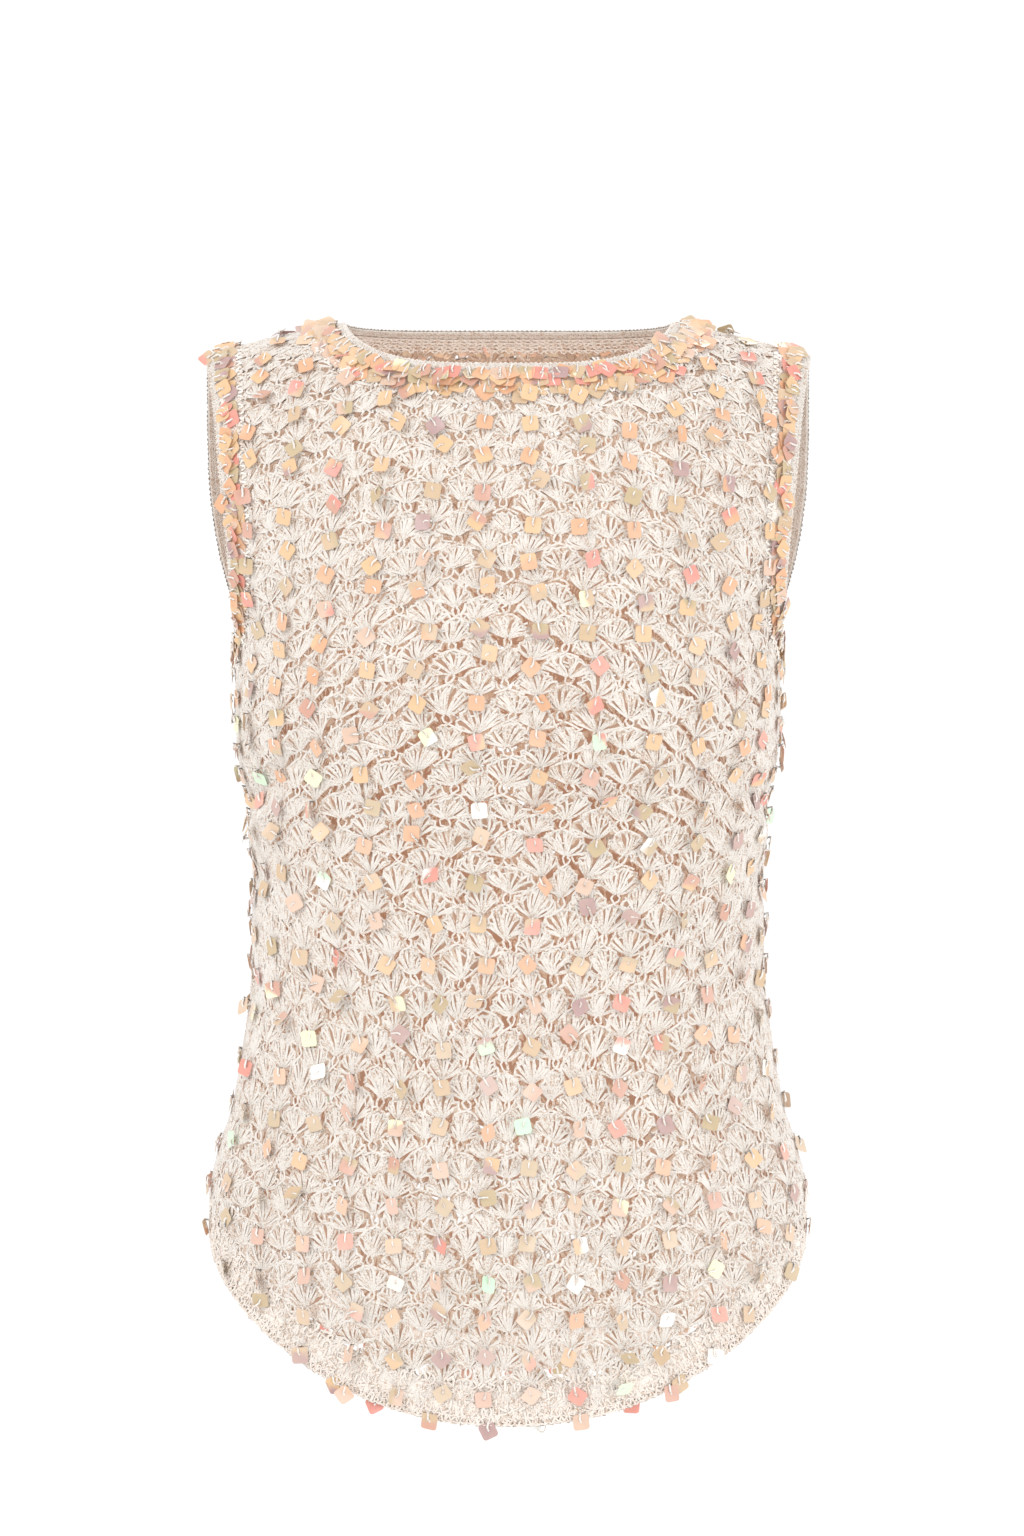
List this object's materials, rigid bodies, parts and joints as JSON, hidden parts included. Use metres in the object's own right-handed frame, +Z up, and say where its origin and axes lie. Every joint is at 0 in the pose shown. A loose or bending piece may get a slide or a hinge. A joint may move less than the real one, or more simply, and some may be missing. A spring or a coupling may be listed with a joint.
{
  "type": "sleeveless crochet top",
  "caption": "Sleeveless shell-stitch crochet top with a round neck, rounded hem and sequin trims, hollow in its worn form.",
  "frame": {"origin": "middle of the shoulder line, level with the two points where the shoulders meet the neck; the wearer's shoulders hold the top there", "axes": "+Z up, -Y out of the front, +X towards the wearer's left"},
  "size_m": [0.3668, 0.2286, 0.6455],
  "materials": {
    "cream_yarn": "matt crochet yarn, slightly fuzzy",
    "sequin": "glossy iridescent film"
  },
  "bodies": {
    "root": {"front_panel": "cream_yarn", "back_panel": "cream_yarn", "neck_edging": "cream_yarn", "armhole_edging_left": "cream_yarn", "armhole_edging_right": "cream_yarn", "hem_border_front": "cream_yarn", "hem_border_back": "cream_yarn", "neck_sequin_trim": "sequin", "armhole_sequin_trim_left": "sequin", "armhole_sequin_trim_right": "sequin"}
  },
  "joints": []
}
